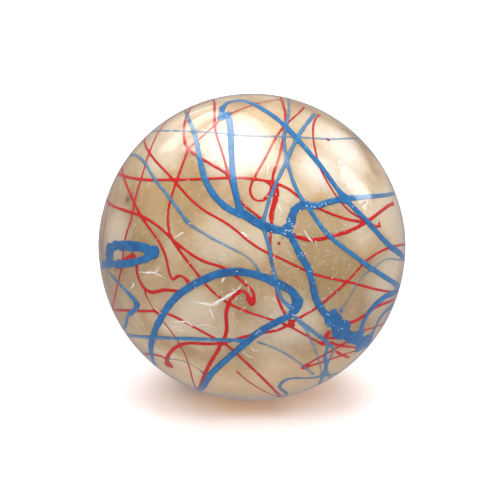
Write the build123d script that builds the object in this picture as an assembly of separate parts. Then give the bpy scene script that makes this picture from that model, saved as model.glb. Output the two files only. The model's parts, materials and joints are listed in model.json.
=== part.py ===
from build123d import *
import os
from math import ceil, cos, hypot, radians, sin

# A solid rubber bouncy ball, 45 mm across. A pearl rubber core carries red and blue drizzled
# paint, and two clear half covers are moulded over it. The origin is the ball's centre, +Z is
# up, the decorated face looks towards -Y, and the covers meet on the plane y = 0.
# All lengths are in millimetres and all angles in degrees.

# ---- driving dimensions ----
BALL_RADIUS = 22.5            # outside of the clear covers
CORE_RADIUS = 20.6            # pearl rubber core
PAINT_THICKNESS = 0.08        # of a wide strand or a drop, at its middle
LAYER_GAP = 0.045             # clear rubber between one layer of paint and the next
FLASH_HEIGHT = 0.1            # trimmed moulding ridge, above the ball's surface
FLASH_HALF_WIDTH = 0.22       # ridge on each side of the parting plane
FACE_TILT = 20                # the front face of the drizzle looks this far above -Y
REAR_ROLL = 112               # the rear face is turned this far about its own middle

# ---- how a strand is shaped ----
SECTION_STEP = 1.1            # distance between its cross-sections
TIP_SCALE = 0.4               # size of the cross-section at each of its two tips
THREAD_SHARE = 0.45           # thickness of the finest thread, as a share of a wide strand's
FULL_WIDTH = 1.0              # a strand this wide or wider has the full thickness
SIDE_SLOPE = 45               # of its two sides, from its base
SIDE_GAP = 0.1                # least distance between two strands of one layer


# ---- the drizzle ----
# A strand is its width at its start, its width at its end, and the places it runs through. A
# place is how far east and how far north of the face's centre it lies, measured along the
# core's surface. A drop is its width and its place.
BLUE_STRANDS = {
    "hook_and_long_diagonal": (0.8, 0.85, [
        (-5.25, 21.25), (-5.25, 23.75), (-4.75, 26.25), (-3.5, 27.25), (-2, 27.25),
        (0.25, 25.75), (2.75, 23), (5.25, 20), (7.25, 17), (10.5, 12.5), (14, 7.75),
        (17.75, 4.5), (23.25, 0.5), (29.5, -1.75), (32.25, -3)]),
    "drop_from_hook": (0.75, 0.85, [
        (-4.25, 23.25), (-3.75, 21.25), (-3.25, 16), (-3, 12.75), (-2.75, 9.75), (-2.25, 7.25),
        (-1.75, 5.5), (-1, 4.5)]),
    "junction_run": (1.15, 1.05, [(-2, 5.25), (-0.25, 4), (1.5, 3), (3, 2.5), (4.75, 2.25)]),
    "left_fall": (0.3, 0.9, [
        (-13.75, 28.75), (-11.75, 23.75), (-9.5, 18.75), (-8.25, 14.5), (-7, 10.25), (-5.5, 7.5),
        (-3.5, 5.5), (-1.5, 4.5)]),
    "top_line": (0.3, 0.3, [
        (-21.25, 24), (-15.75, 21.25), (-11, 19.5), (-6.75, 18.5), (-2.5, 17.5), (1.5, 17.25),
        (7, 17.5), (13.25, 18.25), (20.5, 21.25), (23.5, 22.5)]),
    "left_diagonal": (0.35, 0.45, [
        (-25.5, 19), (-20.75, 16.5), (-18, 14), (-15.25, 10.5), (-12.5, 7.5), (-10.25, 4.75),
        (-9, 3.25)]),
    "left_diagonal_end": (0.35, 0.25, [
        (-9, 3.25), (-7, 2), (-4.75, 0.75), (-2.25, -0.5), (-0.25, -1.75), (1, -3.5)]),
    "short_fall": (0.5, 0.45, [
        (11.75, 25), (9.5, 21.25), (7, 17), (5.25, 13), (3.5, 9.25), (2.25, 6), (1.5, 3.25)]),
    "upper_right_fall": (0.25, 0.6, [
        (7.75, 31.5), (7.25, 29), (6, 21.5), (5, 16.5), (5.25, 13), (6, 9.5), (7, 7.25), (8, 5.75)]),
    "right_sweep": (0.6, 0.7, [
        (8, 6), (9.75, 3.25), (12, 1), (14.25, -0.5), (17.5, -2.5), (22.5, -5), (30.75, -8.5)]),
    "right_branch": (1.1, 0.35, [
        (4.75, 2.25), (5.5, 3.75), (6, 5), (7.25, 6), (9, 6), (11, 6.5), (13.5, 7.25),
        (16.25, 7.75), (21.5, 8.75), (29.25, 11.25)]),
    "middle_branch": (0.9, 1, [
        (4.75, 2.25), (6, 0.5), (6.5, -0.5), (8, -3), (8.75, -5.5), (9.5, -7.75), (11, -10),
        (12.75, -11.75)]),
    "middle_thread": (0.5, 0.5, [
        (1.5, 3.25), (2, 1.25), (2.5, -0.5), (2.75, -2.25), (3.25, -4.25), (3.75, -6.5),
        (5, -8.25), (6, -9)]),
    "great_arch": (0.75, 1.15, [
        (-19.75, -25.25), (-18.25, -18.25), (-16, -13.75), (-13.5, -10), (-10.75, -7),
        (-7.5, -5), (-4.5, -3.75), (-1.5, -3.5), (1.5, -4.25), (3.75, -5.25), (5.5, -6.25),
        (6.5, -7.75)]),
    "great_arch_foot": (1.15, 0.7, [
        (6.75, -7.5), (6.25, -9.25), (4.5, -10.5), (1.5, -12.25), (-1, -14.5), (-3.75, -17.5),
        (-6.75, -21.25), (-9.25, -26.25), (-10.75, -29.25), (-11.25, -30.5)]),
    "low_line": (0.45, 0.6, [
        (-26, -18.25), (-16.25, -15.25), (-9, -14.25), (-3.75, -14), (-1, -14)]),
    "low_thread": (0.25, 0.3, [(0.75, -14.25), (4.25, -16), (8.5, -19.75), (11, -22.75)]),
    "left_ring_top": (1.3, 1.25, [
        (-26.25, -2.25), (-25.25, -0.5), (-21, 0.25), (-17.25, 0), (-15, -0.75)]),
    "left_ring_bottom": (0.9, 1, [
        (-14.25, -1), (-17, -2), (-20.75, -2.75), (-25, -3), (-29.75, -3.75)]),
    "ring_tail": (0.3, 0.75, [(-27.25, -3.75), (-24.25, -5.75), (-21.25, -7.5), (-19, -9.25)]),
    "ring_tail_end": (0.75, 0.4, [
        (-19, -9.25), (-19.75, -10.5), (-21.75, -12), (-23, -13.5), (-27, -16.75)]),
    "pool_run": (1.5, 1.5, [(12, -10.25), (15, -14), (18.25, -16.25), (24.25, -20)]),
    "upper_right_loop": (0.9, 0.9, [
        (19.5, -16), (19, -12.75), (20, -10.75), (22.5, -9.25), (26.75, -8.75), (31, -8.75)]),
    "lower_right_loop": (0.8, 0.8, [
        (23.5, -18.75), (23, -15.5), (23.75, -13.25), (26.25, -12), (29.5, -12)]),
    "forked_fall": (0.45, 0.55, [
        (6.25, -10.25), (8.25, -12), (10.25, -13.75), (12.25, -15.75), (12.25, -18.25),
        (13, -20.75), (13.25, -24), (14, -28)]),
    "fork_side": (0.35, 0.35, [(12.25, -15.75), (13.5, -17), (13.25, -19.75), (13.25, -22.25)]),
    "fork_foot": (0.35, 0.3, [(13.25, -22), (16.25, -27)]),
    "low_hook": (0.4, 0.45, [(6.25, -31), (5.75, -26.75), (5, -24.75), (5.75, -23)]),
    "low_hook_arm": (0.5, 0.4, [
        (5.5, -23), (6.5, -22.75), (9.25, -23.25), (13.5, -24.25), (18.75, -26.25)]),
    "right_thread": (0.25, 0.2, [
        (30.75, -2), (26, -2.25), (22.25, -2.25), (19.5, -3.5), (17.25, -4.75), (15.75, -6.75),
        (14.75, -8.25), (14, -9.75)]),
    "small_arc": (0.22, 0.22, [
        (-15.25, -20.25), (-12.5, -19.25), (-10.25, -19.75), (-8.25, -21.75)]),
    "thread_beside_fork": (0.22, 0.22, [
        (7, -11), (8.75, -13.75), (10.25, -16.75), (11.75, -20.5), (12.75, -23.75)]),
}

RED_STRANDS = {
    "long_upper_line": (0.35, 0.35, [
        (-27.75, 15.25), (-22.75, 12.75), (-18.5, 11.25), (-11.75, 10.25), (-7, 10), (-3, 10),
        (0.5, 9.75), (3, 9.25), (5, 8.5), (7, 7), (10, 5.5), (13, 4.5), (16.25, 4), (19, 3.75),
        (21, 3.5), (21.25, 4.25)]),
    "left_fall": (0.3, 0.35, [
        (-16, 28.25), (-17.5, 22.75), (-18, 16.25), (-18.5, 11.25), (-19.25, 7.25),
        (-19.75, 4.25), (-20.75, 1.75), (-21.5, -2), (-23.5, -6.5), (-28.75, -12.75)]),
    "low_diagonal": (0.3, 0.4, [
        (-29, -13), (-22.25, -11.25), (-17.75, -10.5), (-13.5, -10.25), (-10, -11.5),
        (-6.25, -13.5), (-4.5, -14.5), (-1.75, -17.25), (1.75, -22), (6, -30.75)]),
    "upper_left_thread": (0.4, 0.35, [
        (-12.5, 29.25), (-12, 23), (-11.5, 19.25), (-10.25, 15.75), (-7.75, 13.5),
        (-5.25, 11.75), (-3, 10.25)]),
    "inner_left_fall": (0.35, 0.25, [
        (-10, 15.75), (-10.75, 12.75), (-11.5, 9.75), (-12.25, 7), (-12.5, 4.25), (-11.75, 1.25),
        (-10.75, -0.25), (-8.5, -3), (-6, -6), (-3, -8.25), (0.5, -9.75), (4.5, -11.25),
        (8.25, -13.5), (11.5, -15.75)]),
    "cross_diagonal": (0.28, 0.28, [
        (-22.25, 23), (-17.75, 16.25), (-15, 13.25), (-11.75, 10), (-9.5, 7.5), (-6.5, 5),
        (-3.5, 3.25), (-1, 1.25), (1.5, -0.5), (3.75, -1.5), (8.5, -3.75), (14.25, -5.25),
        (19.5, -6.75), (27.75, -8.75), (31, -9.5)]),
    "fall_beside_hook": (0.28, 0.28, [
        (-8.25, 30.75), (-6.5, 23), (-5.75, 18.25), (-4.5, 14.25), (-3.5, 10.75), (-2.75, 8.25),
        (-1.5, 6.25), (0.25, 4.75), (1.75, 3.5)]),
    "short_upper_left": (0.3, 0.35, [(-9.75, 16), (-8.25, 17.5), (-5.5, 21)]),
    "short_top": (0.22, 0.25, [(-3.75, 22.75), (-1.75, 24), (0.75, 25.75), (5.5, 28.5)]),
    "middle_fall": (0.3, 0.35, [
        (6, 32), (5.75, 29), (5.75, 23.25), (5.25, 18.5), (4.5, 15.25), (3.5, 11.75), (3, 9.5),
        (3.5, 7.5), (3, 5.5), (2.75, 3.25), (2.5, -0.25), (3.25, -4.5), (3.75, -7.5), (5, -10),
        (6.25, -11.75)]),
    "middle_fall_bulge": (0.7, 0.4, [(3.25, 8.75), (3.5, 7.5), (3, 5.75), (2.75, 3.75)]),
    "teardrop_loop": (0.2, 0.32, [
        (10, 27), (7, 22), (4.5, 18.5), (1.5, 12.25), (0, 9.25), (-0.25, 7.75), (0.75, 6.5),
        (2, 7), (2.75, 8.5), (2.75, 9.25)]),
    "right_fall": (0.25, 0.25, [
        (13, 25.25), (10.75, 21.5), (10, 18), (10, 15.25), (10.5, 12), (11.75, 9.25),
        (13.75, 6.5), (15.75, 5), (18.5, 4.5)]),
    "right_arc": (0.5, 0.4, [
        (5, 2.25), (6.25, 1.5), (8.5, 1), (11.5, 1.5), (14.25, 2.25), (17.75, 3.75), (21.75, 6),
        (27, 8.25)]),
    "left_to_hook": (0.3, 0.35, [
        (-30, 10), (-26, 7.75), (-19.25, 5.5), (-16, 4.25), (-13, 2.25), (-11.5, 1),
        (-9.5, -0.5), (-6.25, -2.25), (-3.75, -3), (-1.5, -4.75), (0.25, -6.75), (0, -8)]),
    "hook_to_low_rim": (0.5, 0.45, [
        (0, -8), (-0.5, -7.25), (-1, -6.25), (-2, -6.5), (-3, -7.5), (-3.75, -9.75),
        (-3.75, -12.25), (-4.5, -14.5), (-6.75, -18.75), (-8.75, -23.5), (-10.5, -28.25),
        (-11.5, -30.5)]),
    "left_hairpin": (0.3, 0.35, [
        (-26.75, 16.75), (-22.75, 11.75), (-19.25, 7.25), (-16.75, 4), (-14.5, 1.5),
        (-13.75, 0.5), (-12.75, -1.5), (-12.25, -3.75), (-11.75, -4.75), (-10.75, -4.25),
        (-9.5, -4.75), (-9, -5.5)]),
    "left_hairpin_return": (0.4, 0.45, [
        (-9, -5.5), (-9.75, -6.25), (-13.25, -6.5), (-16, -7), (-17.5, -6), (-18.25, -4),
        (-18.25, -2)]),
    "left_hairpin_end": (0.55, 0.45, [(-18.25, -2), (-19.25, -1.5), (-20.75, -2), (-25, -2.5)]),
    "left_rim_line": (0.25, 0.25, [
        (-26.5, 18), (-27.25, 13.25), (-27.75, 8.25), (-28.25, 3.25), (-29.75, -0.75)]),
    "low_left_thread": (0.18, 0.18, [
        (-17, -7), (-15.75, -9.5), (-13.5, -12.5), (-11.5, -16), (-10.75, -20.25),
        (-11.25, -28.75)]),
    "low_curl": (0.35, 0.45, [(-22.25, -22.5), (-17.75, -19.75), (-15.5, -19.75), (-14.75, -22)]),
    "low_sweep": (0.5, 0.25, [
        (-15.75, -22.25), (-14.75, -19.25), (-12.5, -16.5), (-10.25, -15.25), (-7.5, -15),
        (-4.25, -14.5), (-1.5, -13.5), (1.25, -12.75), (4, -12.25), (6.5, -10.75), (9.25, -9.25),
        (12.25, -7), (14.5, -5.25), (17.25, -2.75), (21.25, -0.75), (30, 0.5), (32.5, 0.75)]),
    "right_low_line": (0.6, 0.4, [
        (15, -12.25), (16.75, -12.25), (18.25, -11.75), (20.5, -10.75), (24.25, -10.25),
        (30, -10.5)]),
    "right_low_second": (0.25, 0.25, [(19, -14.5), (23.5, -15), (27.75, -15.75)]),
    "upper_prong": (0.5, 0.35, [
        (8.5, -20), (10, -19), (12.5, -17.75), (14.25, -17), (16.25, -16)]),
    "lower_prong": (0.45, 0.25, [(8.5, -20.25), (11.25, -19.75), (14.75, -19.25), (19, -19.25)]),
    "short_slash": (0.3, 0.3, [(14.25, -17.75), (18.25, -20.75)]),
    "upper_dash": (0.3, 0.3, [(12, -14.5), (16, -15.25)]),
    "lower_dash": (0.4, 0.25, [(12.5, -15.5), (15.25, -16.75), (19.5, -18.5)]),
    "low_tangle": (0.6, 0.45, [(12.25, -13.25), (11.5, -14.75), (13.25, -16)]),
    "bottom_hair": (0.18, 0.18, [
        (-2.5, -20.25), (-1.5, -21.75), (0.5, -24.25), (3, -27.25), (5.75, -30.75)]),
}

BLUE_DROPS = [
    (3, 12.75, -11), (3.5, 14.25, -13.5), (2, 17.25, -15.5), (3.4, 21, -18), (1.5, 4.75, 2.25),
    (1.7, -14.75, -0.75), (3, -25.75, -1.25), (1.2, -19, -9.5), (1.5, 6.5, -8), (1.6, 14, 7.5),
    (0.9, -5, 21.5),
]
RED_DROPS = [
    (0.6, 2.5, 9.25), (0.7, -19, -1.5), (0.8, 0, -8), (0.6, 12.75, 18), (0.35, 3.75, 0.5),
    (0.7, -15, -21.75), (0.7, 8.75, -20.25), (0.7, 12, -13.75), (0.45, 21.25, 3.5),
]


# ---- the two faces ----
def face_directions(roll, behind):
    """Unit vectors east, north and outwards of one decorated face, turned by roll about it."""
    side = -1 if behind else 1
    east = Vector(side, 0, 0)
    north = Vector(0, sin(radians(FACE_TILT)), cos(radians(FACE_TILT)))
    outwards = east.cross(north)
    turned_east = east * cos(radians(roll)) + north * sin(radians(roll))
    return turned_east, outwards.cross(turned_east), outwards


FRONT = face_directions(roll=0, behind=False)
REAR = face_directions(roll=REAR_ROLL, behind=True)


def set_out(face, place):
    """The point of the core that lies this far east and north of the face's centre."""
    east, north, outwards = face
    away = hypot(*place)
    along = (east * place[0] + north * place[1]) / away
    angle = away / CORE_RADIUS
    return (outwards * cos(angle) + along * sin(angle)) * CORE_RADIUS


# ---- paint ----
def strand(path, start_width, end_width, radius):
    """A flat-topped strand of paint with sloped sides, laid over its path."""
    count = ceil(path.length / SECTION_STEP)
    first = start_width / 2 / path.length
    last = 1 - end_width / 2 / path.length
    inner = [first + (last - first) * i / count for i in range(count + 1)]
    sections = []
    for station in [0, *inner, 1]:
        width = start_width + (end_width - start_width) * station
        thinness = max(0, 1 - width / FULL_WIDTH)
        thickness = PAINT_THICKNESS * (1 - thinness * (1 - THREAD_SHARE))
        size = TIP_SCALE if station in (0, 1) else 1
        up = (path @ station).normalized()
        side = up.cross(path % station).normalized()
        across = Plane(origin=up * radius, x_dir=side, z_dir=side.cross(up))
        sections.append(across * Trapezoid(size * width, size * thickness, SIDE_SLOPE))
    return loft(sections)


def drop(point, width, radius):
    """A lens of paint where a strand stopped and ran into a pool."""
    bulge = (width**2 + PAINT_THICKNESS**2) / (4 * PAINT_THICKNESS)
    shift = bulge - PAINT_THICKNESS / 2
    lens = Pos(Z=shift) * Sphere(bulge) & Pos(Z=-shift) * Sphere(bulge)
    up = Vector(*point).normalized()
    return Plane(origin=up * radius, z_dir=up) * lens


def layer_radius(layer):
    """The radius of the middle of a layer of paint, counted outwards from the core."""
    return CORE_RADIUS + LAYER_GAP + PAINT_THICKNESS / 2 + layer * (PAINT_THICKNESS + LAYER_GAP)


def drizzle(strands, drops, first_layer):
    """One colour's strands and drops on both faces, each laid over those that it crosses.

    Each goes into the lowest layer where it touches nothing. Returns the pieces and the
    number of the next free layer."""
    laid = []
    for face in (FRONT, REAR):
        for start_width, end_width, places in strands.values():
            line = Spline(*[set_out(face, place) for place in places])
            laid.append([line, (start_width, end_width), None])
        for width, east, north in drops:
            laid.append([Vertex(*set_out(face, (east, north))), (width,), None])

    pieces = []
    for number, (line, widths, _) in enumerate(laid):
        taken = {
            layer
            for other, other_widths, layer in laid[:number]
            if line.distance_to(other) < (max(widths) + max(other_widths)) / 2 + SIDE_GAP
        }
        layer = first_layer
        while layer in taken:
            layer += 1
        laid[number][2] = layer
        make = strand if isinstance(line, Edge) else drop
        pieces.append(make(line, *widths, layer_radius(layer)))
    return Compound(children=pieces), 1 + max(layer for _, _, layer in laid)


# ---- rubber ----
def half_cover(side, inner_radius):
    """A clear half shell on one side of the parting plane, with its half of the flash ridge."""
    ridge = Rot(X=90) * Cylinder(BALL_RADIUS + FLASH_HEIGHT, 2 * FLASH_HALF_WIDTH)
    reach = BALL_RADIUS + 1
    half_space = Pos(Y=side * reach / 2) * Box(2 * reach, reach, 2 * reach)
    return (Sphere(BALL_RADIUS) + ridge) & half_space - Sphere(inner_radius)


red, first_blue_layer = drizzle(RED_STRANDS, RED_DROPS, first_layer=0)
blue, first_clear_layer = drizzle(BLUE_STRANDS, BLUE_DROPS, first_blue_layer)
cover_inner_radius = layer_radius(first_clear_layer) - PAINT_THICKNESS / 2

nodes = {
    "core": Sphere(CORE_RADIUS),
    "red_drizzle": red,
    "blue_drizzle": blue,
    "front_cover": half_cover(-1, cover_inner_radius),
    "rear_cover": half_cover(1, cover_inner_radius),
}

os.makedirs("parts", exist_ok=True)
for node_name, shape in nodes.items():
    shape.label = node_name
    export_step(shape, f"parts/{node_name}.step")
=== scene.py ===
import bpy
import bmesh
import json
import math
import random
import numpy as np
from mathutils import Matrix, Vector, kdtree, noise

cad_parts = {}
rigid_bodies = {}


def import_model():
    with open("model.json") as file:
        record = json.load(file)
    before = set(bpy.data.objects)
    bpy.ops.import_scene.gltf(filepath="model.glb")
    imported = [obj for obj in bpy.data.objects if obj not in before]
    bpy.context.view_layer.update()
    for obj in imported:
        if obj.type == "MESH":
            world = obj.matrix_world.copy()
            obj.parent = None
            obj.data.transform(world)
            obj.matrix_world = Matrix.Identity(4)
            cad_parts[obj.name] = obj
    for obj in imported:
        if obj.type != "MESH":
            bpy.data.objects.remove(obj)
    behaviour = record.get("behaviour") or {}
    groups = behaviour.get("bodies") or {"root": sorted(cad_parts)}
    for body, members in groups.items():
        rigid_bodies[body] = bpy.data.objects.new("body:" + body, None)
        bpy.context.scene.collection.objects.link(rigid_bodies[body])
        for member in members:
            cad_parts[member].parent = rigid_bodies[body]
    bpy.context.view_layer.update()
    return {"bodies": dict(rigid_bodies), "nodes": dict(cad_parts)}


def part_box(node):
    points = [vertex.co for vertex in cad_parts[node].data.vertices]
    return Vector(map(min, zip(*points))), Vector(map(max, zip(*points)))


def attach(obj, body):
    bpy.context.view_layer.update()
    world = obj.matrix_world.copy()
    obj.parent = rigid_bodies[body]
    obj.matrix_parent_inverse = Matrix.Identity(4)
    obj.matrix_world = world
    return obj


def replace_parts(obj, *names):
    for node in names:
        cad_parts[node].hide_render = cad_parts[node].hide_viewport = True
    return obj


# A 45 mm bouncy ball: a pearl rubber core, red and blue drizzled paint on it, and a clear glossy
# cover moulded over them in two halves. All lengths are in metres; MM turns millimetres into them.

MM = 0.001
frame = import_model()
BODY = next(iter(frame["bodies"]))

# ---- sizes from the frame ----
CORE_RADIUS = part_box("core")[1].z
COVER_RADIUS = -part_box("front_cover")[0].y
RIDGE_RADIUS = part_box("front_cover")[1].x
PAINT_TOP = max(v.co.length for v in frame["nodes"]["blue_drizzle"].data.vertices)
COVER_INNER_RADIUS = PAINT_TOP + 0.03 * MM
FLOOR_Z = -RIDGE_RADIUS

CORE_DIPS = 0.02 * MM         # greatest depth of the faint dips in the core
CORE_DIP_SIZE = 6 * MM        # from one dip to the next

# ---- the covers ----
RIDGE_HALF_WIDTH = 0.26 * MM  # of the trimmed flash, on each side of the parting plane
COVER_TURNS = 288             # points in each ring of a cover
OUTER_RINGS = 72
INNER_RINGS = 24
NEAR_PARTING = [distance * MM for distance in (0, 0.08, 0.16, 0.26, 0.45, 0.75)]

# ---- the two decorated faces ----
FACE_TILT = 20                # degrees that the front face looks above -Y
REAR_ROLL = 112               # degrees that the rear face is turned about its own middle

# ---- drizzled paint ----
ROUGH_SUBDIVISIONS = 5        # of the first grid on the core
ROUGH_EDGE = 1.4 * MM         # length of its edges
GRID_REFINEMENTS = 4          # times that it is halved where there is paint
WELD = 0.0005 * MM            # within which two points of a CAD strand are one
LINE_STEP = 0.1 * MM          # between points of a strand's middle line
STRAIGHT_ACROSS = 0.85        # cosine of the widest slant at which a strand's width is measured
GRID_MARGIN = 0.3 * MM        # of grid beyond the paint's edge
MELD = 0.11 * MM              # how far paint draws into the corner between two strands
REACH = 0.5 * MM              # beyond which a strand has no pull on the paint's edge
EDGE_SPREAD = 0.03 * MM       # how far paint has run out beyond the edge of a CAD strand
EDGE_ROUND = 0.17 * MM        # width of the rounded edge of the paint
THIN_DEPTH = 0.05 * MM        # depth of the finest thread
FULL_DEPTH = 0.15 * MM        # depth of a wide strand
WIDE_HALF = 0.5 * MM          # half width of a strand with all its depth and colour
THINNEST_HALF = 0.1 * MM      # half width where a strand's other side is not found
FREE_BASE = 0.01 * MM         # of the paint's underside above the core
OVERLAP_GAP = 0.02 * MM       # between the blue paint and the red that it drapes over
DRAPE_SPREAD = 0.1 * MM       # how far beyond the red paint's edge the blue begins to rise
RED_LUMPS, BLUE_LUMPS = 0.15, 0.22    # swelling of the edges, as a share of the half width
SWELL_SIZE = 1.5 * MM         # of the wide swellings
SWELL_DETAIL = 0.6 * MM       # of the small ones on them
STRAND_SHIFT = 0.7            # of the noise from strand to strand, so that no two swell alike
CELL = 1.2 * MM               # of the rough grid that finds the strands near a point
CELL_SPAN = 256               # more cells than the ball has from side to side

# ---- the look of the core ----
# Each cloud on the core: mm east and north of a face's centre, its size in mm, and its tint. Some are
# the core's own colour and some are painted light.
# Olive and tan: partly the core's own darker cream, partly painted shade of the dark band across its
# middle.
OLIVE_WITH_PAINTED_SHADE = (0.32, 0.20, 0.06)
TAN_WITH_PAINTED_SHADE = (0.40, 0.26, 0.10)
# Milky: partly the core's own paler cream, partly painted reflection of the white table and tent, on
# the lower half and at the limbs.
MILKY_WITH_PAINTED_REFLECTION = (0.62, 0.53, 0.40)
# Pearl: painted highlights, the core whitened where the softbox shines on its top.
PAINTED_HIGHLIGHT_PEARL = (0.78, 0.73, 0.66)
CLOUDS_AND_PAINTED_LIGHT = (
    (9.5, -1, 8, OLIVE_WITH_PAINTED_SHADE), (13.75, -3.75, 5, OLIVE_WITH_PAINTED_SHADE), (-13.75, 7.5, 7, TAN_WITH_PAINTED_SHADE), (-15, 0, 4, OLIVE_WITH_PAINTED_SHADE),
    (-2.25, -18, 5, OLIVE_WITH_PAINTED_SHADE), (5.25, -11.75, 6, MILKY_WITH_PAINTED_REFLECTION), (-8.5, -10.75, 6, MILKY_WITH_PAINTED_REFLECTION),
    (15, 10.75, 6, MILKY_WITH_PAINTED_REFLECTION), (-15, 15, 5, MILKY_WITH_PAINTED_REFLECTION), (23.5, -6.5, 6, MILKY_WITH_PAINTED_REFLECTION), (12.75, 19.25, 6, MILKY_WITH_PAINTED_REFLECTION),
    (-4.25, 1, 5, MILKY_WITH_PAINTED_REFLECTION), (-23.5, 2.25, 5, MILKY_WITH_PAINTED_REFLECTION), (-3, 15, 6, PAINTED_HIGHLIGHT_PEARL), (10, 12, 4, PAINTED_HIGHLIGHT_PEARL),
    (16, 17, 5, PAINTED_HIGHLIGHT_PEARL),
)
SMUDGES = ((-21, 8, 0.9), (-20.25, 8.75, 0.6))
CLOUD_AND_PAINTED_LIGHT_SHARE = 0.75            # of a cloud's tint at its middle
SMUDGE_SHARE = 0.8

# Tints of the core's own rubber and of what ages it, and a painted amber glow at its bottom.
SHADED_RUBBER = (0.33, 0.205, 0.085)
CREAM_RUBBER = (0.47, 0.325, 0.17)
BRIGHT_RUBBER = (0.60, 0.485, 0.33)
GRAIN = (0.66, 0.57, 0.43)
STAIN = (0.33, 0.185, 0.06)
CREASE = (0.26, 0.15, 0.06)
FROST = (0.75, 0.66, 0.52)
# A painted glow: light let through the rubber and thrown up by the table, painted as amber that grows
# towards the bottom.
PAINTED_GLOW_AMBER = (0.84, 0.60, 0.34)
GRIME = (0.09, 0.075, 0.06)
PAINTED_GLOW_BOTTOM, PAINTED_GLOW_TOP = -20 * MM, -8 * MM      # heights between which the amber fades out

# ---- flaws in the covers ----
# Cracks in the clear rubber of a cover: the widest each gets in mm, and places along it, in mm
# east and north.
CRACKS = (
    (0.24, ((-8.5, -7.5), (-7.25, -7.75), (-5.5, -8), (-4.25, -7.25), (-2.25, -6), (-1.25, -5))),
    (0.14, ((-6, -8.25), (-5.25, -10.25))),
    (0.16, ((-17.25, -3.75), (-15.5, -3.75), (-14, -3.75), (-13, -2.75))),
    (0.1, ((-14.25, -3.75), (-12.75, -4.25))),
    (0.12, ((-18.75, -5), (-18.25, -6), (-19.75, -7))),
    (0.1, ((-15, -9), (-13.25, -10))),
    (0.14, ((-12.5, -11.25), (-9.5, -10.75), (-8.75, -11.25), (-5.75, -11))),
    (0.1, ((-12, -11.75), (-10.5, -12.5), (-9.5, -12))),
    (0.14, ((-4.25, -4.75), (-3.5, -4))),
    (0.1, ((2.75, -6.75), (3.5, -7.75))),
    (0.1, ((-1.5, -15.25), (-0.75, -16), (0.25, -16.5))),
    (0.1, ((-0.25, -14), (0, -15), (1.25, -15.25))),
    (0.12, ((-11, 1.25), (-9.25, 2))),
    (0.1, ((3.5, 6), (4, 4.5))),
    (0.16, ((7, 2.25), (8.25, 0.5))),
    (0.2, ((-1.5, 2), (-0.5, 1.25))),
    (0.1, ((8.25, 21.75), (9.5, 23.25))),
    (0.12, ((11.25, 19.75), (12, 20.75))),
    (0.14, ((13.75, 19.5), (14.5, 19))),
    (0.16, ((-14.75, 18.5), (-13.5, 19.75), (-12, 20.5))),
    (0.12, ((-12.5, 21.5), (-10.25, 22.5))),
    (0.12, ((2.25, 12), (2.25, 10.75), (2, 9.75))),
)

CRACK_STEPS = 6               # between one place of a crack and the next
CRACK_JITTER = 0.03           # mm that a crack strays from its line
CRACK_DEPTH = 0.4 * MM        # under the covers' surface
SCRATCH_WIDTH = 0.06          # mm
SCRATCH_COUNT = 70            # on each face
SPECK_FLATNESS = 0.4          # of dust and grit, as a share of its width
SPECKS_FROM = PAINT_TOP + 0.12 * MM              # the radii between which dust and grit lie
SPECKS_TO = COVER_RADIUS - 0.15 * MM

# ---- lumps in the paint ----
# Where strands dried lumpy: mm east and north of a face's centre, and how far the lumps reach.
KNOTS = (
    (-21.25, -1, 7), (5.75, 4.25, 3), (-3.25, 21.25, 3), (-21.25, -10.75, 4), (-15, -20.25, 3),
    (9.5, -20, 4), (2, 7, 2), (-2.25, -7.5, 3), (5.5, -25, 3),
)

# ---- camera ----
CAMERA_ELEVATION = 20         # degrees above the horizon
CAMERA_LENS = 400             # mm, so that the ball is seen almost without perspective
SENSOR = 36                   # mm
BALL_SHARE = 0.614            # of the picture's width that the ball's outline fills
AIM_RIGHT = -0.29 * MM        # the picture's centre, beside the ball's centre
AIM_UP = -0.44 * MM

# ---- stage ----
FLOOR_HALF = 3.0              # half the table top's width
TENT_LIGHT = 0.22             # brightness of the white tent round the ball
TENT_REFLECTION = 0.34        # and its brightness as the ball mirrors it

random_source = random.Random(11)


# ---- places ----
def face_directions(behind):
    """Unit vectors east, north and outwards of the front or the rear decorated face."""
    tilt, roll = math.radians(FACE_TILT), math.radians(REAR_ROLL if behind else 0)
    east = Vector((-1 if behind else 1, 0, 0))
    north = Vector((0, math.sin(tilt), math.cos(tilt)))
    outwards = east.cross(north)
    turned_east = east * math.cos(roll) + north * math.sin(roll)
    return turned_east, outwards.cross(turned_east), outwards


FACES = (face_directions(False), face_directions(True))


def on_face(face, east, north):
    """The outward direction of a place this many mm east and north of a face's centre."""
    away = math.hypot(east, north)
    angle = away * MM / CORE_RADIUS
    along = (face[0] * east + face[1] * north) / max(away, 1e-6)
    return face[2] * math.cos(angle) + along * math.sin(angle)


# ---- node helpers ----
def new_material(name):
    """An empty node material, its tree and its output node."""
    material = bpy.data.materials.new(name)
    material.use_nodes = True
    tree = material.node_tree
    tree.nodes.clear()
    return material, tree, tree.nodes.new("ShaderNodeOutputMaterial")


def add(tree, kind, **values):
    """A node with its input sockets set by name, or linked where the value is a socket."""
    node = tree.nodes.new("ShaderNode" + kind)
    for name, value in values.items():
        socket = node.inputs[name.replace("_", " ")]
        if isinstance(value, bpy.types.NodeSocket):
            tree.links.new(value, socket)
        else:
            socket.default_value = value
    return node


def place(tree):
    """The point being shaded, in metres in the row frame."""
    return tree.nodes.new("ShaderNodeTexCoord").outputs["Object"]


def mottle(tree, size, detail=4, roughness=0.55, distortion=0.0):
    """Soft noise, 0 to 1, with blotches of about this size in metres."""
    node = add(tree, "TexNoise", Vector=place(tree), Scale=1 / size, Detail=detail,
               Roughness=roughness, Distortion=distortion)
    return node.outputs["Fac"]


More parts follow.
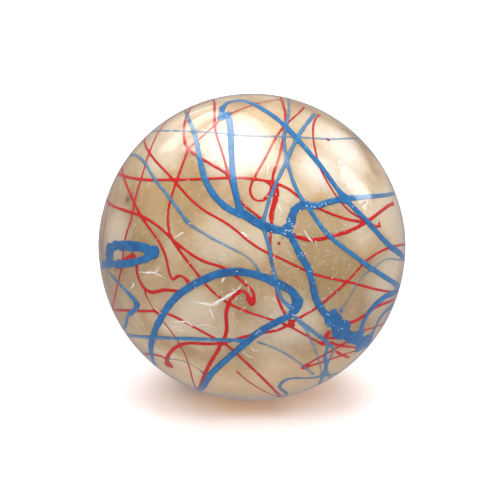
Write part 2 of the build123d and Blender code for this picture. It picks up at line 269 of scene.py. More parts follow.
def ramp(tree, factor, *stops):
    """Colours spread over a factor; each stop is a position and a colour."""
    node = tree.nodes.new("ShaderNodeValToRGB")
    tree.links.new(factor, node.inputs["Fac"])
    elements = node.color_ramp.elements
    while len(elements) < len(stops):
        elements.new(0.5)
    for element, (position, colour) in zip(elements, stops):
        element.position = position
        element.color = (*colour, 1)
    return node.outputs["Color"]


def levels(tree, factor, low, high, to_low=0.0, to_high=1.0):
    """A factor stretched from low..high to to_low..to_high and clamped."""
    node = add(tree, "MapRange", Value=factor)
    node.inputs["From Min"].default_value = low
    node.inputs["From Max"].default_value = high
    node.inputs["To Min"].default_value = to_low
    node.inputs["To Max"].default_value = to_high
    return node.outputs["Result"]


def maths(tree, operation, first, second):
    """One arithmetic step on two numbers or sockets."""
    node = tree.nodes.new("ShaderNodeMath")
    node.operation = operation
    for socket, value in zip(node.inputs, (first, second)):
        if isinstance(value, bpy.types.NodeSocket):
            tree.links.new(value, socket)
        else:
            socket.default_value = value
    return node.outputs["Value"]


def blend_colours(tree, factor, first, second):
    """Two colours mixed by a factor; 0 is all first."""
    node = tree.nodes.new("ShaderNodeMix")
    node.data_type = "RGBA"
    sockets = (node.inputs[0], node.inputs[6], node.inputs[7])
    for socket, value in zip(sockets, (factor, first, second)):
        if isinstance(value, bpy.types.NodeSocket):
            tree.links.new(value, socket)
        elif socket is node.inputs[0]:
            socket.default_value = value
        else:
            socket.default_value = (*value, 1)
    return node.outputs[2]


def mix_shaders(tree, factor, first, second):
    """Two shaders mixed by a factor; 0 is all first."""
    node = tree.nodes.new("ShaderNodeMixShader")
    for socket, value in zip(node.inputs, (factor, first, second)):
        tree.links.new(value, socket)
    return node.outputs[0]


def bump(tree, height, depth):
    """A normal from a height of 0 to 1 that stands for this depth in metres."""
    node = add(tree, "Bump", Height=height, Distance=depth, Strength=1.0)
    return node.outputs["Normal"]


# ---- materials ----
def near_place(tree, face, east, north, size, ragged=0.5):
    """1 near a place of a decorated face, falling to 0 at this many mm, with a ragged edge."""
    spot = on_face(face, east, north) * CORE_RADIUS
    offset = add(tree, "VectorMath", Vector=place(tree))
    offset.operation = "DISTANCE"
    offset.inputs[1].default_value = spot
    tear = maths(tree, "MULTIPLY", mottle(tree, size * 0.35 * MM, detail=4), ragged * size * MM)
    reach = maths(tree, "ADD", offset.outputs["Value"], tear)
    return levels(tree, reach, (0.35 + ragged / 2) * size * MM, (1 + ragged / 2) * size * MM, 1, 0)


def core_tints_and_painted_light(tree, clouds):
    """The core's colours: its own cream and clouds, with painted shade, painted reflections and
    painted highlights among the clouds.
    """
    colour = ramp(tree, clouds, (0.34, SHADED_RUBBER), (0.5, CREAM_RUBBER), (0.64, BRIGHT_RUBBER))
    for face in FACES:
        # Blends in the table's clouds: the core's own tints, and the painted shade, painted
        # reflections and painted highlights among them.
        for east, north, size, tint in CLOUDS_AND_PAINTED_LIGHT:
            cloud_and_painted_light_patch = near_place(tree, face, east, north, size)
            colour = blend_colours(tree, maths(tree, "MULTIPLY", cloud_and_painted_light_patch, CLOUD_AND_PAINTED_LIGHT_SHARE), colour, tint)
    return colour


def aged_with_painted_glow(tree, colour):
    """The core's colour with its grain, stains, creases, frosting and smudges, and a painted amber
    glow towards its bottom.
    """
    grain = mottle(tree, 1.1 * MM, detail=6, roughness=0.7)
    colour = blend_colours(tree, levels(tree, grain, 0.52, 0.75, 0, 0.35), colour, GRAIN)
    stain = mottle(tree, 2.4 * MM, detail=6, roughness=0.75, distortion=1.2)
    colour = blend_colours(tree, levels(tree, stain, 0.58, 0.76, 0, 0.4), colour, STAIN)
    folds = mottle(tree, 5 * MM, detail=6, roughness=0.6, distortion=1.8)
    from_fold = maths(tree, "ABSOLUTE", maths(tree, "SUBTRACT", folds, 0.52), 0)
    creased = levels(tree, mottle(tree, 7 * MM, detail=2), 0.45, 0.6, 0, 0.45)
    crease = maths(tree, "MULTIPLY", levels(tree, from_fold, 0, 0.012, 1, 0), creased)
    colour = blend_colours(tree, crease, colour, CREASE)
    frosted = mottle(tree, 0.25 * MM, detail=3, roughness=0.8)
    colour = blend_colours(tree, levels(tree, frosted, 0.55, 0.75, 0, 0.35), colour, FROST)
    # The painted amber glow: the core made warmer and brighter towards its bottom, for light let
    # through the rubber.
    height = add(tree, "SeparateXYZ", Vector=place(tree)).outputs["Z"]
    colour = blend_colours(tree, levels(tree, height, PAINTED_GLOW_BOTTOM, PAINTED_GLOW_TOP, 0.7, 0), colour, PAINTED_GLOW_AMBER)
    for east, north, size in SMUDGES:
        smudge = near_place(tree, FACES[0], east, north, size, ragged=1.2)
        colour = blend_colours(tree, maths(tree, "MULTIPLY", smudge, SMUDGE_SHARE), colour, GRIME)
    return colour


def pearl_rubber():
    """Cream rubber with a pearl sheen, cloudy and grimy, that lets some light through; its clouds
    hold painted shade, painted reflections and painted highlights, and it has a painted amber glow at
    its bottom.
    """
    material, tree, output = new_material("pearl_rubber")
    clouds = mottle(tree, 13 * MM, detail=3, roughness=0.5, distortion=0.8)
    colour = aged_with_painted_glow(tree, core_tints_and_painted_light(tree, clouds))
    lumps = bump(tree, mottle(tree, 4 * MM, detail=5, roughness=0.6), 0.35 * MM)
    base = add(tree, "BsdfPrincipled", Base_Color=colour, IOR=1.3, Roughness=0.6, Normal=lumps,
               Subsurface_Weight=0.4, Subsurface_Scale=1.0)
    base.inputs["Subsurface Radius"].default_value = (4.0 * MM, 2.5 * MM, 1.2 * MM)
    flakes = mottle(tree, 0.4 * MM, detail=2)
    pearl = add(tree, "BsdfAnisotropic", Color=(1.0, 0.96, 0.88, 1), Normal=lumps,
                Roughness=levels(tree, flakes, 0.3, 0.7, 0.3, 0.42))
    edge_on = add(tree, "LayerWeight", Blend=0.35).outputs["Facing"]
    patchy = levels(tree, clouds, 0.35, 0.62, 0.5, 1.0)
    share = maths(tree, "MULTIPLY", levels(tree, edge_on, 0, 1, 0.06, 0.12), patchy)
    skin = mix_shaders(tree, share, base.outputs[0], pearl.outputs[0])
    through = add(tree, "BsdfTransparent", Color=(0.62, 0.47, 0.33, 1))
    shadow = tree.nodes.new("ShaderNodeLightPath").outputs["Is Shadow Ray"]
    tree.links.new(mix_shaders(tree, shadow, skin, through.outputs[0]), output.inputs["Surface"])
    return material


def paint(name, deep, plain, pale, thin, solid):
    """Drizzled paint: deep where it pooled, half clear below the fullness `thin`, and covering
    all that is under it above the fullness `solid`."""
    material, tree, output = new_material(name)
    blotches = mottle(tree, 1.4 * MM, detail=5, roughness=0.65)
    fullness = tree.nodes.new("ShaderNodeAttribute")
    fullness.attribute_name = "body"
    full = fullness.outputs["Fac"]
    tone = maths(tree, "ADD", maths(tree, "MULTIPLY", full, 0.45),
                 maths(tree, "MULTIPLY", blotches, 0.55))
    colour = ramp(tree, tone, (0.36, pale), (0.62, plain), (0.85, deep))
    streaks = mottle(tree, 0.35 * MM, detail=4, roughness=0.7)
    fresh = blend_colours(tree, levels(tree, streaks, 0.5, 0.75, 0, 0.55), colour, pale)
    body = add(tree, "BsdfPrincipled", Base_Color=fresh, Roughness=0.5, IOR=1.15)
    clear = tree.nodes.new("ShaderNodeBsdfTransparent")
    worn = levels(tree, blotches, 0.35, 0.7, -0.08, 0.1)
    cover = maths(tree, "SUBTRACT", levels(tree, full, thin, solid, 0.42, 0.95), worn)
    inner_side = tree.nodes.new("ShaderNodeNewGeometry").outputs["Backfacing"]
    cover = maths(tree, "MULTIPLY", cover, maths(tree, "SUBTRACT", 1, inner_side))
    surface = mix_shaders(tree, cover, clear.outputs[0], body.outputs[0])
    tree.links.new(surface, output.inputs["Surface"])
    return material


def clear_rubber():
    """The covers' outside: it bends what the camera sees and mirrors the lights, and is scuffed."""
    material, tree, output = new_material("clear_rubber")
    grain = mottle(tree, 0.5 * MM, detail=6, roughness=0.7, distortion=0.8)
    worn = mottle(tree, 2.2 * MM, detail=8, roughness=0.75, distortion=1.5)
    scuffed = levels(tree, worn, 0.585, 0.64, 0, 1)
    waves = mottle(tree, 5 * MM, detail=3)
    dents = maths(tree, "MULTIPLY", maths(tree, "ADD", grain, scuffed), 0.06)
    normal = bump(tree, maths(tree, "ADD", dents, waves), 0.1 * MM)
    bend = add(tree, "BsdfRefraction", IOR=1.5, Roughness=0.0, Color=(1, 0.99, 0.97, 1))
    gloss = maths(tree, "ADD", levels(tree, grain, 0.35, 0.7, 0.08, 0.2),
                  maths(tree, "MULTIPLY", scuffed, 0.3))
    mirror = add(tree, "BsdfAnisotropic", Color=(1, 1, 1, 1), Normal=normal, Roughness=gloss)
    fresnel = maths(tree, "MULTIPLY", add(tree, "Fresnel", IOR=1.5, Normal=normal).outputs[0], 1.3)
    share = maths(tree, "MULTIPLY", maths(tree, "MINIMUM", fresnel, 0.8),
                  levels(tree, scuffed, 0, 1, 1.0, 0.3))
    optics = mix_shaders(tree, share, bend.outputs[0], mirror.outputs[0])
    clear = tree.nodes.new("ShaderNodeBsdfTransparent")
    seen = tree.nodes.new("ShaderNodeLightPath").outputs["Is Camera Ray"]
    surface = mix_shaders(tree, seen, clear.outputs[0], optics)
    tree.links.new(surface, output.inputs["Surface"])
    return material


def flaw(name, colour, roughness, cover):
    """A crack inside the clear rubber, painted pale as a glint of light off its air, or dust or grit
    in the rubber.
    """
    material, tree, output = new_material(name)
    darker = tuple(0.7 * part for part in colour)
    tint = blend_colours(tree, mottle(tree, 0.4 * MM, detail=3), colour, darker)
    body = add(tree, "BsdfPrincipled", Base_Color=tint, Roughness=roughness)
    clear = tree.nodes.new("ShaderNodeBsdfTransparent")
    ragged = levels(tree, mottle(tree, 0.3 * MM, detail=4), 0.35, 0.6, cover * 0.55, cover)
    tree.links.new(mix_shaders(tree, ragged, clear.outputs[0], body.outputs[0]),
                   output.inputs["Surface"])
    return material


def bonded_faces():
    """The covers' inner faces, grown onto the paint and onto each other, so they don't show."""
    material, tree, output = new_material("clear_rubber_bonded")
    clear = tree.nodes.new("ShaderNodeBsdfTransparent")
    tree.links.new(clear.outputs[0], output.inputs["Surface"])
    return material


# ---- meshes ----
def add_piece(mesh, materials):
    """A piece of the ball with this mesh, under the mesh's name."""
    for material in materials:
        mesh.materials.append(material)
    piece = bpy.data.objects.new(mesh.name, mesh)
    bpy.context.scene.collection.objects.link(piece)
    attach(piece, BODY)
    return piece


def replace_part(node, mesh, slot, *materials):
    """A smooth piece of the ball that stands for a CAD node."""
    mesh.shade_smooth()
    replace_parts(add_piece(mesh, materials), node)


def mesh_from(form, name):
    """A form turned into a mesh of this name."""
    mesh = bpy.data.meshes.new(name)
    form.to_mesh(mesh)
    form.free()
    return mesh


def wobble(point, size):
    """Smooth noise of about -1 to 1 with lumps of this size."""
    return noise.noise(point / size)


def make_core():
    """The core: a ball with the faint dips that moulded rubber has."""
    form = bmesh.new()
    bmesh.ops.create_icosphere(form, subdivisions=6, radius=CORE_RADIUS)
    for vert in form.verts:
        dip = CORE_DIPS * (1 + wobble(vert.co, CORE_DIP_SIZE)) / 2
        vert.co *= 1 - dip / CORE_RADIUS
    replace_part("core", mesh_from(form, "pearl_core"), "pearl_rubber", PEARL_RUBBER)


def split_strands(form):
    """The separate strands and drops of a colour's mesh, each a list of its faces."""
    seen = set()
    strands = []
    for first in form.faces:
        if first in seen:
            continue
        seen.add(first)
        strand, waiting = [], [first]
        while waiting:
            face = waiting.pop()
            strand.append(face)
            for edge in face.edges:
                for other in edge.link_faces:
                    if other not in seen:
                        seen.add(other)
                        waiting.append(other)
        strands.append(strand)
    return strands


def faces_inwards(face):
    """Whether a face of a strand is part of its underside."""
    return face.normal.dot(face.calc_center_median()) < 0


def middle_line(strand):
    """Points close together along a strand's middle line, each with half the width there.

    They are found from the outline of its underside: straight across the strand from a point
    of the outline is the outline's other side."""
    underside = [face for face in strand if faces_inwards(face)]
    edges = [(loop.vert.co, loop.link_loop_next.vert.co) for face in underside
             for loop in face.loops
             if not all(faces_inwards(side) for side in loop.edge.link_faces)]
    starts, inwards = [], []
    for start, end in edges:
        steps = max(1, round((end - start).length / LINE_STEP))
        across = (end - start).cross(start).normalized()
        for step in range(steps):
            starts.append(start.lerp(end, (step + 0.5) / steps)[:])
            inwards.append(across[:])
    starts, inwards = np.array(starts), np.array(inwards)
    halves = np.empty(len(starts))
    for number, (start, across) in enumerate(zip(starts, inwards)):
        offsets = starts - start
        lengths = np.linalg.norm(offsets, axis=1)
        opposite = offsets @ across > STRAIGHT_ACROSS * lengths
        opposite[number] = False
        halves[number] = lengths[opposite].min() / 2 if opposite.any() else THINNEST_HALF
    middles = starts + inwards * halves[:, None]
    return middles / np.linalg.norm(middles, axis=1)[:, None], halves


KNOT_PLACES = [(on_face(face, east, north) * CORE_RADIUS, size * MM)
               for face in FACES for east, north, size in KNOTS]


class Strand:
    """A strand or drop of paint: a search tree of its middle line, its half widths and cells."""

    def __init__(self, faces):
        directions, self.halves = middle_line(faces)
        self.line = directions * CORE_RADIUS
        self.tree = kdtree.KDTree(len(self.line))
        for number, point in enumerate(self.line):
            self.tree.insert(point, number)
        self.tree.balance()
        steps = np.array([[x, y, z] for x in (-1, 0, 1) for y in (-1, 0, 1) for z in (-1, 0, 1)])
        own = cells(self.line)
        self.cells = np.unique(cell_number((own[:, None] + steps[None]).reshape(-1, 3)))

    def nearest(self, point):
        """The distance from a point to the middle line, and half the width there."""
        found = self.tree.find_n(point, 3)
        half = sum(self.halves[number] for _, number, _ in found) / len(found)
        return found[0][2], half


def cells(points):
    """The whole-number cell that holds each point, in cells a little wider than a strand."""
    return np.floor(points / CELL).astype(np.int64) + CELL_SPAN // 4


def cell_number(cell):
    """One number for each cell."""
    return (cell[:, 0] * CELL_SPAN + cell[:, 1]) * CELL_SPAN + cell[:, 2]


def strands_of(node):
    """The strands of a colour, from its CAD mesh."""
    form = bmesh.new()
    form.from_mesh(frame["nodes"][node].data)
    bmesh.ops.remove_doubles(form, verts=form.verts, dist=WELD)
    form.normal_update()
    strands = [Strand(faces) for faces in split_strands(form)]
    form.free()
    return strands


def halve(points, triangles):
    """Each triangle split into four, with the new points on the same ball."""
    pairs = np.sort(triangles[:, [0, 1, 1, 2, 2, 0]].reshape(-1, 2), axis=1)
    edges, number = np.unique(pairs, axis=0, return_inverse=True)
    middles = points[edges].sum(axis=1)
    middles *= CORE_RADIUS / np.linalg.norm(middles, axis=1)[:, None]
    ab, bc, ca = (number.reshape(-1, 3) + len(points)).T
    a, b, c = triangles.T
    parts = ((a, ab, ca), (ab, b, bc), (ca, bc, c), (ab, bc, ca))
    return np.concatenate([points, middles]), np.concatenate([np.stack(p, axis=1) for p in parts])


def used_only(points, triangles):
    """The same triangles, without the points that none of them uses."""
    used, number = np.unique(triangles, return_inverse=True)
    return points[used], number.reshape(-1, 3)


def paint_grid(strands):
    """A fine triangle grid on the core, wherever there is paint of these strands."""
    form = bmesh.new()
    bmesh.ops.create_icosphere(form, subdivisions=ROUGH_SUBDIVISIONS, radius=CORE_RADIUS)
    points = np.array([vert.co[:] for vert in form.verts])
    triangles = np.array([[vert.index for vert in face.verts] for face in form.faces])
    form.free()
    everything = kdtree.KDTree(sum(len(strand.line) for strand in strands))
    half_widths = []
    for strand in strands:
        for point, half in zip(strand.line, strand.halves):
            everything.insert(point, len(half_widths))
            half_widths.append(half)
    everything.balance()
    edge = ROUGH_EDGE
    for _ in range(GRID_REFINEMENTS):
        near = []
        for middle in points[triangles].mean(axis=1):
            _, number, distance = everything.find(middle)
            near.append(distance < half_widths[number] * 1.3 + GRID_MARGIN + edge * 0.6)
        points, triangles = used_only(points, triangles[np.array(near)])
        points, triangles = halve(points, triangles)
        edge /= 2
    return points, triangles


def knotty(point):
    """How much lumpier than elsewhere a strand is at this point: 0, or up to 2 near a knot."""
    away = min((point - knot).length / size for knot, size in KNOT_PLACES)
    return 2 * max(0.0, 1 - away * away)


def paint_field(points, strands, lumps):
    """How far each point is inside the paint's edge, and the paint's fullness there, 0 to 1."""
    weight = np.zeros(len(points))
    fullness = np.zeros(len(points))
    number = cell_number(cells(points))
    for order, strand in enumerate(strands):
        shift = Vector((order * STRAND_SHIFT, 0, 0))
        for index in np.nonzero(np.isin(number, strand.cells))[0]:
            point = Vector(points[index])
            distance, half_width = strand.nearest(point)
            if distance > half_width * 1.5 + REACH:
                continue
            swell = noise.noise(point / SWELL_SIZE + shift)
            swell += 0.5 * noise.noise(point / SWELL_DETAIL + shift)
            swell *= lumps * min(half_width, WIDE_HALF**2 / half_width) * (1 + knotty(point))
            inside = half_width + EDGE_SPREAD + swell - distance
            pull = math.exp(inside / MELD)
            weight[index] += pull
            fullness[index] += pull * min(1.0, half_width / WIDE_HALF)
    field = MELD * np.log(np.maximum(weight, 1e-9))
    return field, fullness / np.maximum(weight, 1e-9)


def paint_height(field, fullness):
    """The paint's depth above what it lies on, round-shouldered at its edge."""
    rise = np.clip(field / EDGE_ROUND, 0, 1)
    depth = THIN_DEPTH + (FULL_DEPTH - THIN_DEPTH) * fullness
    return depth * np.sqrt(1 - (1 - rise) ** 2)


def trim(points, triangles, field):
    """Moves the points beside the paint's edge onto it, and keeps the triangles inside.

    Returns the points, the triangles and which points lie on the edge."""
    pairs = np.unique(np.sort(triangles[:, [0, 1, 1, 2, 2, 0]].reshape(-1, 2), axis=1), axis=0)
    inside = field > 0
    first, second = pairs[inside[pairs[:, 0]] != inside[pairs[:, 1]]].T
    share = field[first] / (field[first] - field[second])
    crossing = points[first] + share[:, None] * (points[second] - points[first])
    nearer = np.where(share < 0.5, first, second)
    farthest_first = np.argsort(-np.linalg.norm(crossing - points[nearer], axis=1), kind="stable")
    points = points.copy()
    points[nearer[farthest_first]] = crossing[farthest_first]
    on_edge = np.zeros(len(points), dtype=bool)
    on_edge[nearer] = True
    kept = (on_edge | inside)[triangles].all(axis=1) & (~on_edge)[triangles].any(axis=1)
    return points, triangles[kept], on_edge


def closed_skin(name, points, triangles, on_edge, base, height, fullness):
    """A mesh with the triangles twice, at the base radii and raised, joined at the paint's edge.

    Each of its points keeps the paint's fullness there as the attribute "body"."""
    out = points / np.linalg.norm(points, axis=1)[:, None]
    used = np.unique(triangles)
    low_number = np.full(len(points), -1)
    low_number[used] = np.arange(len(used))
    raised = used[~on_edge[used]]
    high_number = low_number.copy()
    high_number[raised] = len(used) + np.arange(len(raised))
    low = out[used] * base[used][:, None]
    high = out[raised] * (base + height)[raised][:, None]
    skin = np.concatenate([high_number[triangles], low_number[triangles][:, ::-1]])
    mesh = bpy.data.meshes.new(name)
    mesh.from_pydata(np.concatenate([low, high]).tolist(), [], skin.tolist())
    body = mesh.attributes.new("body", "FLOAT", "POINT")
    body.data.foreach_set("value", np.concatenate([fullness[used], fullness[raised]]))
    return mesh


def make_drizzle(strands, name, node, slot, material, lumps, under=None):
    """A colour's paint as one closed skin, run together where its strands cross.

    It lies on the core, or over the paint of the strands under it."""
    points, triangles = paint_grid(strands)
    field, fullness = paint_field(points, strands, lumps)
    points, triangles, on_edge = trim(points, triangles, field)
    height = np.where(on_edge, 0, paint_height(field, fullness))
    base = np.full(len(points), CORE_RADIUS + FREE_BASE)
    if under:
        other_field, other_fullness = paint_field(points, under, 0)
        base += OVERLAP_GAP + paint_height(other_field + DRAPE_SPREAD, other_fullness)
    mesh = closed_skin(name, points, triangles, on_edge, base, height, fullness)
    replace_part(node, mesh, slot, material)


def speck(form, centre, size):
    """A small ragged lump at this point, flattened along the ball's radius."""
    up = centre.normalized()
    made = bmesh.ops.create_icosphere(form, subdivisions=1, radius=size)["verts"]
    turn = up.to_track_quat("Z", "Y")
    for vert in made:
        stretch = random_source.uniform(0.55, 1.25)
        vert.co *= stretch
        vert.co.z *= SPECK_FLATNESS
        vert.co = centre + turn @ vert.co


def make_specks(name, material, count, middle, spread, sizes):
    """Specks scattered in the clear rubber round a place of each face; all but the name and
    the material are in mm."""
    form = bmesh.new()
    for face in FACES:
        for _ in range(count):
            east = random_source.gauss(middle[0], spread)
            north = random_source.gauss(middle[1], spread)
            radius = random_source.uniform(SPECKS_FROM, SPECKS_TO)
            size = random_source.uniform(*sizes) * MM
            speck(form, on_face(face, east, north) * radius, size)
    add_piece(mesh_from(form, name), [material])


def crack_stops(places):
    """Places close together along a crack through these places, each a little astray."""
    stops = []
    for (east, north), (next_east, next_north) in zip(places, places[1:]):
        for step in range(CRACK_STEPS):
            share = step / CRACK_STEPS
            stray_east = random_source.gauss(0, CRACK_JITTER)
            stray_north = random_source.gauss(0, CRACK_JITTER)
            stops.append((east + (next_east - east) * share + stray_east,
                          north + (next_north - north) * share + stray_north))
    stops.append(places[-1])
    return stops


def crack(form, face, places, widest):
    """A thin tapering sliver of air that runs through these places."""
    stops = crack_stops(places)
    rings = []
    for number, (east, north) in enumerate(stops):
        share = number / (len(stops) - 1)
        width = widest * MM * (0.08 + math.sin(math.pi * share)) * random_source.uniform(0.6, 1.2)
        centre = on_face(face, east, north) * (COVER_RADIUS - CRACK_DEPTH)
        before, after = stops[max(0, number - 1)], stops[min(len(stops) - 1, number + 1)]
        along = (on_face(face, *after) - on_face(face, *before)).normalized()
        up = centre.normalized()
        side = along.cross(up)
        corners = (side * width, up * width * 0.5, -side * width, -up * width * 0.5)
        rings.append([form.verts.new(centre + corner) for corner in corners])
    for low, high in zip(rings, rings[1:]):
        for corner in range(4):
            after = (corner + 1) % 4
            form.faces.new((low[corner], low[after], high[after], high[corner]))
    form.faces.new(rings[0][::-1])
    form.faces.new(rings[-1])


def add_scratches(form):
    """Short fine scratches scattered in the rubber of both covers."""
    for face in FACES:
        for _ in range(SCRATCH_COUNT):
            east, north = random_source.gauss(2, 11), random_source.gauss(-2, 11)
            turn = random_source.uniform(0, math.tau)
            reach = random_source.uniform(0.25, 0.9)
            end = (east + reach * math.cos(turn), north + reach * math.sin(turn))
            crack(form, face, ((east, north), end), SCRATCH_WIDTH)


def make_cracks():
    """The cracks of the front cover and, turned with its drizzle, of the rear cover."""
    form = bmesh.new()
    add_scratches(form)
    for face in FACES:
        for widest, places in CRACKS:
            crack(form, face, places, widest)
    bmesh.ops.recalc_face_normals(form, faces=form.faces)
    # The cracks and scratches share one pale material, a painted glint off the air in them.
    add_piece(mesh_from(form, "cover_cracks"), [CRACK_PAINTED_GLINT])


def ridge_height(angle, from_parting):
    """How far the trimmed flash stands up at this angle round the parting line."""
    along = Vector((math.cos(angle), math.sin(angle), 0)) * COVER_RADIUS
    trimmed = 0.45 + 0.35 * wobble(along, 1.3 * MM) + 0.2 * wobble(along, 0.4 * MM)
    fall = max(0.0, 1 - from_parting / RIDGE_HALF_WIDTH)
    return (RIDGE_RADIUS - COVER_RADIUS) * max(0.0, min(1.0, trimmed)) * fall


def outside(angle, tilt):
    """The cover's outer radius at this angle round the ball and this tilt from the pole."""
    return COVER_RADIUS + ridge_height(angle, (math.pi / 2 - tilt) * COVER_RADIUS)


def inside(angle, tilt):
    """The cover's inner radius, which is the same everywhere."""
    return COVER_INNER_RADIUS


def ring(form, side, tilt, radius_at):
    """A ring of points at this tilt from the pole of a half."""
    verts = []
    for step in range(COVER_TURNS):
        angle = 2 * math.pi * step / COVER_TURNS
        out = Vector((math.cos(angle) * math.sin(tilt), side * math.cos(tilt),
                      math.sin(angle) * math.sin(tilt)))
        verts.append(form.verts.new(out * radius_at(angle, tilt)))
    return verts


def band(form, low, high):
    """The faces between two rings."""
    ends = [(step, (step + 1) % COVER_TURNS) for step in range(COVER_TURNS)]
    return [form.faces.new((low[step], low[after], high[after], high[step]))
            for step, after in ends]


def sheet(form, rings, pole):
    """The faces between rings, and from the last ring to the pole."""
    made = []
    for low, high in zip(rings, rings[1:]):
        made += band(form, low, high)
    for step in range(COVER_TURNS):
        made.append(form.faces.new((rings[-1][step], rings[-1][(step + 1) % COVER_TURNS], pole)))
    return made


def make_cover(side, name, node):
    """One clear half: a shell from its pole to the parting plane, closed by its bonded faces."""
    outer_tilts = [math.pi / 2 - distance / COVER_RADIUS for distance in NEAR_PARTING]
    outer_tilts += [outer_tilts[-1] * (1 - step / OUTER_RINGS) for step in range(1, OUTER_RINGS)]
    inner_tilts = [math.pi / 2 * (1 - step / INNER_RINGS) for step in range(INNER_RINGS)]
    form = bmesh.new()
    outer_rings = [ring(form, side, tilt, outside) for tilt in outer_tilts]
    inner_rings = [ring(form, side, tilt, inside) for tilt in inner_tilts]
    sheet(form, outer_rings, form.verts.new((0, side * COVER_RADIUS, 0)))
    bonded = sheet(form, inner_rings, form.verts.new((0, side * COVER_INNER_RADIUS, 0)))
    bonded += band(form, outer_rings[0], inner_rings[0])
    for face in bonded:
        face.material_index = 1
    bmesh.ops.recalc_face_normals(form, faces=form.faces)
    replace_part(node, mesh_from(form, name), "clear_rubber", CLEAR, BONDED)


# ---- materials in use ----
RED_PAINT = paint("red_paint", (0.36, 0.002, 0.002), (0.46, 0.003, 0.002), (0.5, 0.008, 0.006),
                  0.1, 0.24)
BLUE_PAINT = paint("blue_paint", (0.006, 0.065, 0.22), (0.014, 0.14, 0.35), (0.05, 0.25, 0.46),
                   0.2, 0.7)
CLEAR = clear_rubber()
BONDED = bonded_faces()
PEARL_RUBBER = pearl_rubber()
# Cracks and scratches drawn pale: a painted glint of light off the air in them.
CRACK_PAINTED_GLINT = flaw("crack_painted_glint", (0.93, 0.89, 0.82), 0.25, 0.72)
DUST = flaw("dust", (0.92, 0.86, 0.78), 0.6, 0.75)
GRIT = flaw("grit", (0.10, 0.07, 0.05), 0.7, 0.9)

# ---- the ball ----
make_core()
red_strands = strands_of("red_drizzle")
blue_strands = strands_of("blue_drizzle")
make_drizzle(red_strands, "red_drizzle_paint", "red_drizzle", "red_paint", RED_PAINT, RED_LUMPS)
make_drizzle(blue_strands, "blue_drizzle_paint", "blue_drizzle", "blue_paint", BLUE_PAINT, BLUE_LUMPS,
             under=red_strands)
make_cover(-1, "clear_cover_front", "front_cover")
make_cover(1, "clear_cover_rear", "rear_cover")
make_cracks()
make_specks("dust_cluster", DUST, 260, middle=(7.5, -2), spread=6.5, sizes=(0.05, 0.14))
make_specks("dust_scattered", DUST, 240, middle=(0, 0), spread=15, sizes=(0.04, 0.11))
make_specks("dust_by_branch", DUST, 20, middle=(4.75, 2.5), spread=0.8, sizes=(0.06, 0.16))
make_specks("dust_by_arch", DUST, 14, middle=(6.25, -8.25), spread=1.2, sizes=(0.06, 0.13))
make_specks("grit_scattered", GRIT, 30, middle=(0, 0), spread=14, sizes=(0.06, 0.12))


# ---- stage ----
def make_floor():
    """A wide pale table top under the ball."""
    mesh = bpy.data.meshes.new("floor")
    corners = [(east * FLOOR_HALF, north * FLOOR_HALF, FLOOR_Z)
               for east, north in ((-1, -1), (1, -1), (1, 1), (-1, 1))]
    mesh.from_pydata(corners, [], [(0, 1, 2, 3)])
    material, tree, output = new_material("floor_white")
    white = add(tree, "BsdfPrincipled", Base_Color=(0.93, 0.92, 0.94, 1), Roughness=0.9)
    tree.links.new(white.outputs[0], output.inputs["Surface"])
    mesh.materials.append(material)
    floor = bpy.data.objects.new("floor", mesh)
    floor.visible_glossy = False
    bpy.context.scene.collection.objects.link(floor)


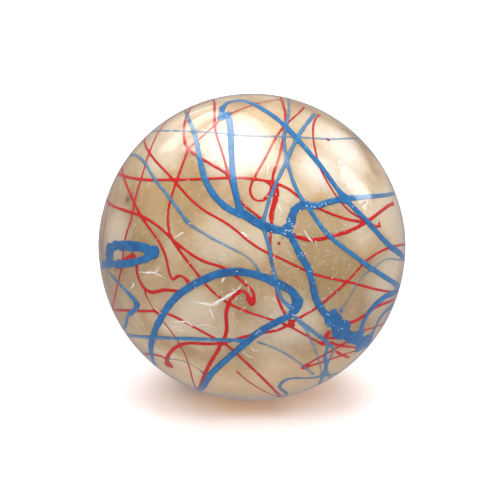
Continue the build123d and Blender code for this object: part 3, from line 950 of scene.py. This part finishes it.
def panel(name, azimuth, elevation, distance, width, height, power, mirrored=True, lights=True):
    """A soft light panel that faces the ball from this direction, in degrees, metres and watts.

    It can be left out of the ball's reflections, or be there for its reflection alone."""
    lamp = bpy.data.lights.new(name, "AREA")
    lamp.shape = "RECTANGLE"
    lamp.size = width
    lamp.size_y = height
    lamp.energy = power
    piece = bpy.data.objects.new(name, lamp)
    turn, rise = math.radians(azimuth), math.radians(elevation)
    out = Vector((math.sin(turn) * math.cos(rise), -math.cos(turn) * math.cos(rise), math.sin(rise)))
    piece.visible_glossy = mirrored
    piece.visible_diffuse = lights
    piece.location = out * distance
    piece.rotation_mode = "QUATERNION"
    piece.rotation_quaternion = (-out).to_track_quat("-Z", "Y")
    bpy.context.scene.collection.objects.link(piece)


def make_world():
    """Soft light from all round, a little violet, as in a white tent."""
    world = bpy.data.worlds.new("tent")
    world.use_nodes = True
    tree = world.node_tree
    background = tree.nodes["Background"]
    background.inputs["Color"].default_value = (0.93, 0.9, 1.0, 1)
    mirrored = tree.nodes.new("ShaderNodeLightPath").outputs["Is Glossy Ray"]
    strength = levels(tree, mirrored, 0, 1, TENT_LIGHT, TENT_REFLECTION)
    tree.links.new(strength, background.inputs["Strength"])
    bpy.context.scene.world = world


def make_camera():
    """A long lens at the ball, a little above it, that frames it as a close-up."""
    camera = bpy.data.cameras.new("camera")
    camera.lens = CAMERA_LENS
    camera.sensor_width = SENSOR
    half_width = BALL_SHARE * SENSOR / CAMERA_LENS / 2
    distance = COVER_RADIUS / math.sin(math.atan(half_width))
    rise = math.radians(CAMERA_ELEVATION)
    back = Vector((0, -math.cos(rise), math.sin(rise)))
    up = Vector((0, math.sin(rise), math.cos(rise)))
    aim = Vector((AIM_RIGHT, 0, 0)) + up * AIM_UP
    piece = bpy.data.objects.new("camera", camera)
    piece.location = aim + back * distance
    piece.rotation_mode = "QUATERNION"
    piece.rotation_quaternion = (-back).to_track_quat("-Z", "Y")
    bpy.context.scene.collection.objects.link(piece)
    bpy.context.scene.camera = piece


make_floor()
make_world()
panel("overhead", 0, 93, 0.55, width=0.46, height=0.95, power=5.6, mirrored=False)
panel("softbox", 29, 106, 0.55, width=0.4, height=0.62, power=3.2, lights=False)
panel("right_rear", 112, 24, 0.6, width=0.16, height=0.24, power=0.6)
panel("left_rear", 210, 34, 0.6, width=0.3, height=0.12, power=0.3)
panel("front_left", -40, 53, 0.8, width=0.25, height=0.25, power=1.6, mirrored=False)
panel("front_right", 40, 53, 0.8, width=0.25, height=0.25, power=1.6, mirrored=False)
make_camera()
bpy.context.scene.view_settings.view_transform = "Standard"
